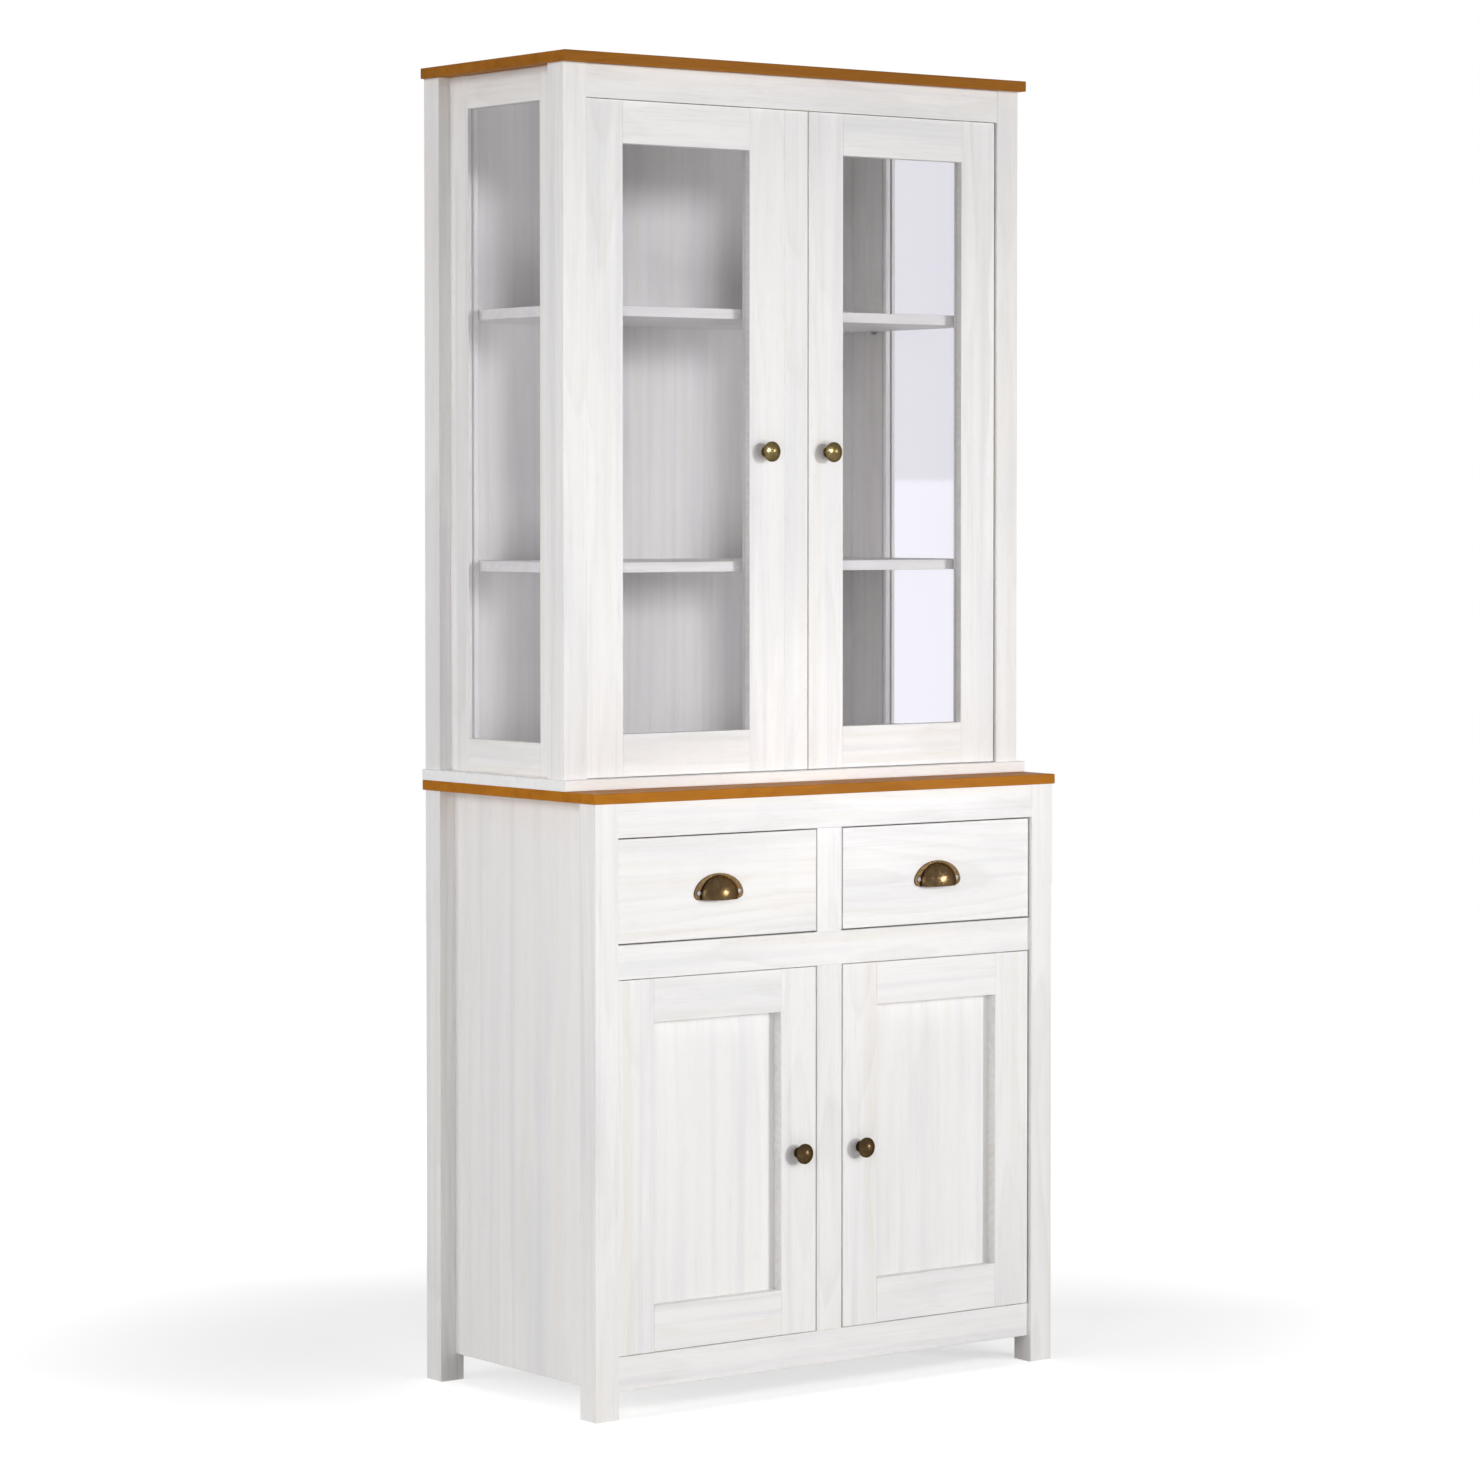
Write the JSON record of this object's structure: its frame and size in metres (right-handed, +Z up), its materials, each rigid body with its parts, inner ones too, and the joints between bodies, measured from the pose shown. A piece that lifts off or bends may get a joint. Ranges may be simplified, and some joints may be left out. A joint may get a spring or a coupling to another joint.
{
  "type": "dresser with hutch",
  "caption": "Tall white-stained wooden dresser: a glazed hutch with hinged doors and shelves on a base with drawers and panelled cupboard doors, with brown-stained tops.",
  "frame": {"origin": "on the floor under the middle of the whole outline, from the knobs at the front to the back", "axes": "+X to the right seen from the front, +Y towards the wall behind, +Z up"},
  "size_m": [0.908, 0.4882, 2.066],
  "materials": {
    "white_wood": "satin white stain over pine, faint grain",
    "brown_wood": "satin honey-brown stain over pine",
    "white_ply": "thin plywood, satin white stain",
    "glass": "clear flat glass",
    "bronze": "dark antique bronze, satin",
    "steel": "zinc-plated steel",
    "catch": "off-white plastic housing of the magnetic catch"
  },
  "bodies": {
    "case": {"base_back": "white_ply", "base_bottom": "white_wood", "base_bottom_rail": "white_wood", "base_mid_rail": "white_wood", "base_partition": "white_wood", "base_shelves": "white_wood", "base_side_left": "white_wood", "base_side_right": "white_wood", "base_top_rail": "white_wood", "centre_stiles": "white_wood", "door_catches": "catch", "drawer_runners": "white_wood", "front_leg_left": "white_wood", "front_leg_right": "white_wood", "front_post_left": "white_wood", "front_post_right": "white_wood", "hutch_back": "white_ply", "hutch_base_board": "white_wood", "hutch_lower_shelf": "white_wood", "hutch_side_beads": "white_wood", "hutch_side_frame_left": "white_wood", "hutch_side_frame_right": "white_wood", "hutch_side_glass_left": "glass", "hutch_side_glass_right": "glass", "hutch_top_board": "brown_wood", "hutch_top_rail": "white_wood", "hutch_upper_shelf": "white_wood", "pivot_plates": "steel", "rear_legs": "white_wood", "rear_posts": "white_wood", "shelf_pins": "steel", "worktop": "brown_wood"},
    "left_cupboard_door": {"cupboard_door_left_frame": "white_wood", "cupboard_door_left_knob": "bronze", "cupboard_door_left_panel": "white_ply", "cupboard_door_left_pivots": "steel"},
    "right_cupboard_door": {"cupboard_door_right_frame": "white_wood", "cupboard_door_right_knob": "bronze", "cupboard_door_right_panel": "white_ply", "cupboard_door_right_pivots": "steel"},
    "left_drawer": {"drawer_left_bottom": "white_ply", "drawer_left_box": "white_wood", "drawer_left_front": "white_wood", "drawer_left_pull": "bronze"},
    "right_drawer": {"drawer_right_bottom": "white_ply", "drawer_right_box": "white_wood", "drawer_right_front": "white_wood", "drawer_right_pull": "bronze"},
    "left_glass_door": {"glass_door_left_beads": "white_wood", "glass_door_left_frame": "white_wood", "glass_door_left_glass": "glass", "glass_door_left_knob": "bronze", "glass_door_left_pivots": "steel", "glass_door_left_strip": "white_wood"},
    "right_glass_door": {"glass_door_right_beads": "white_wood", "glass_door_right_frame": "white_wood", "glass_door_right_glass": "glass", "glass_door_right_knob": "bronze", "glass_door_right_pivots": "steel"}
  },
  "joints": [
    {"name": "left_glass_door_hinge", "type": "hinge", "parent": "case", "child": "left_glass_door", "pos_m": [-0.3941, -0.1292, 0.9665], "axis": [0, 0, 1], "range_deg": [-105, 0]},
    {"name": "right_glass_door_hinge", "type": "hinge", "parent": "case", "child": "right_glass_door", "pos_m": [0.3941, -0.1292, 0.9665], "axis": [0, 0, 1], "range_deg": [0, 105]},
    {"name": "left_cupboard_door_hinge", "type": "hinge", "parent": "case", "child": "left_cupboard_door", "pos_m": [-0.3966, -0.2136, 0.0956], "axis": [0, 0, 1], "range_deg": [-105, 0]},
    {"name": "right_cupboard_door_hinge", "type": "hinge", "parent": "case", "child": "right_cupboard_door", "pos_m": [0.3966, -0.2136, 0.0956], "axis": [0, 0, 1], "range_deg": [0, 105]},
    {"name": "left_drawer_slide", "type": "slide", "parent": "case", "child": "left_drawer", "axis": [0, -1, 0], "range_m": [0, 0.3]},
    {"name": "right_drawer_slide", "type": "slide", "parent": "case", "child": "right_drawer", "axis": [0, -1, 0], "range_m": [0, 0.3]}
  ]
}
